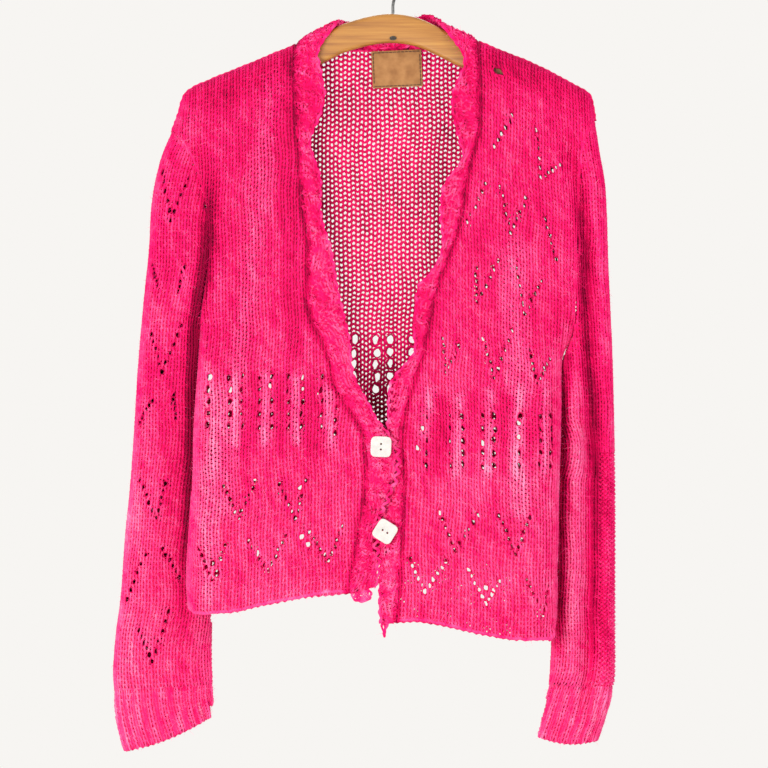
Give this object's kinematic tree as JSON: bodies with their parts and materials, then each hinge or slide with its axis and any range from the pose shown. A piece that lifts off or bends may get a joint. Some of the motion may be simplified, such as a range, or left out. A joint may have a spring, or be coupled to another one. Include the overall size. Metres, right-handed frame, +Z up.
{
  "type": "openwork knitted cardigan on a wooden hanger",
  "caption": "Brushed pink hand-knitted V-neck cardigan with ladder and eyelet openwork, scalloped edging and square buttons, hanging on a curved wooden hanger with a wire hook.",
  "frame": {"origin": "inside top of the wire hook, where a rail or peg carries it", "axes": "+Z up, the front of the cardigan faces -Y, +X towards the viewer's right"},
  "size_m": [0.5044, 0.0908, 0.8053],
  "materials": {
    "brushed_knit": "brushed mohair blend, stocking stitch with openwork",
    "crochet_edging": "the same yarn, crocheted",
    "varnished_wood": "satin varnish",
    "zinc_wire": "bright zinc",
    "ivory_resin": "semi-gloss",
    "woven_tape": "plain woven label tape"
  },
  "bodies": {
    "root": {"back": "brushed_knit", "front_left": "brushed_knit", "front_right": "brushed_knit", "sleeve_left_front": "brushed_knit", "sleeve_left_back": "brushed_knit", "sleeve_right_front": "brushed_knit", "sleeve_right_back": "brushed_knit", "cuff_left": "brushed_knit", "cuff_right": "brushed_knit", "band_left": "crochet_edging", "band_right": "crochet_edging", "band_neck": "crochet_edging", "button_upper": "ivory_resin", "button_lower": "ivory_resin", "label": "woven_tape", "hanger_wood": "varnished_wood", "hanger_hook": "zinc_wire", "hanger_nail": "zinc_wire"}
  },
  "joints": []
}
